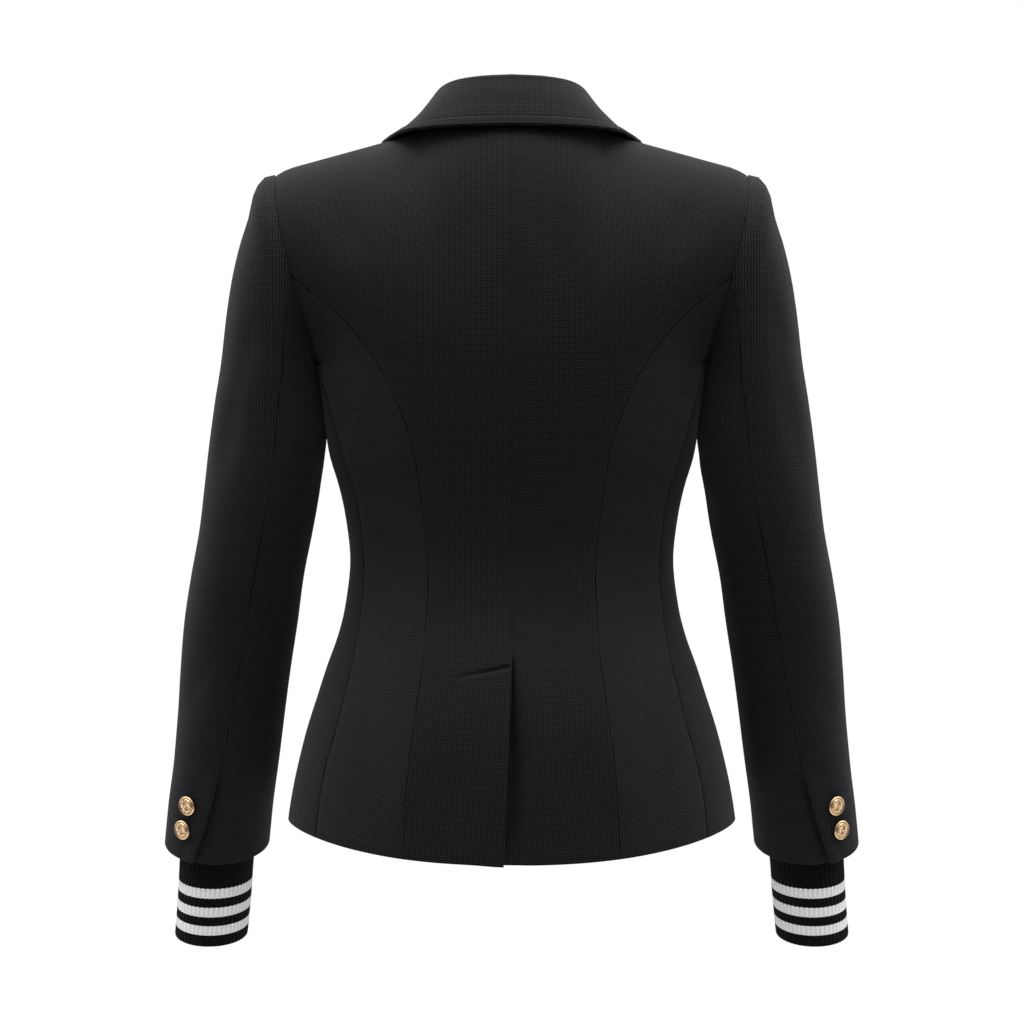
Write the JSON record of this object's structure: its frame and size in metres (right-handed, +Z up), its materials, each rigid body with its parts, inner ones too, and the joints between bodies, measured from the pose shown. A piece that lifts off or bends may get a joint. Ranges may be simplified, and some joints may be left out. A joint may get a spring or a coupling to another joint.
{
  "type": "blazer",
  "caption": "Fitted single-breasted blazer with notched lapels, two-piece sleeves, striped ribbed knit cuffs, gold-tone buttons and a centre back vent, hollow as worn.",
  "frame": {"origin": "middle of the shoulder line at the nape of the neck, where the jacket rests on its wearer", "axes": "+X to the wearer's left, +Y to the back, +Z up; the back faces +Y and the front faces -Y"},
  "size_m": [0.5882, 0.2619, 0.7256],
  "materials": {
    "cloth": "matte black wool-type suiting",
    "knit": "ribbed knit, black with white stripes",
    "button": "gold-tone metal with a soft polish"
  },
  "bodies": {
    "root": {"back_left": "cloth", "side_back_left": "cloth", "front_left": "cloth", "upper_sleeve_left": "cloth", "under_sleeve_left": "cloth", "lapel_left": "cloth", "cuff_left": "knit", "sleeve_button_left_upper": "button", "sleeve_button_left_lower": "button", "back_right": "cloth", "side_back_right": "cloth", "front_right": "cloth", "upper_sleeve_right": "cloth", "under_sleeve_right": "cloth", "lapel_right": "cloth", "cuff_right": "knit", "sleeve_button_right_upper": "button", "sleeve_button_right_lower": "button", "collar": "cloth", "front_button_upper": "button", "front_button_lower": "button"}
  },
  "joints": []
}
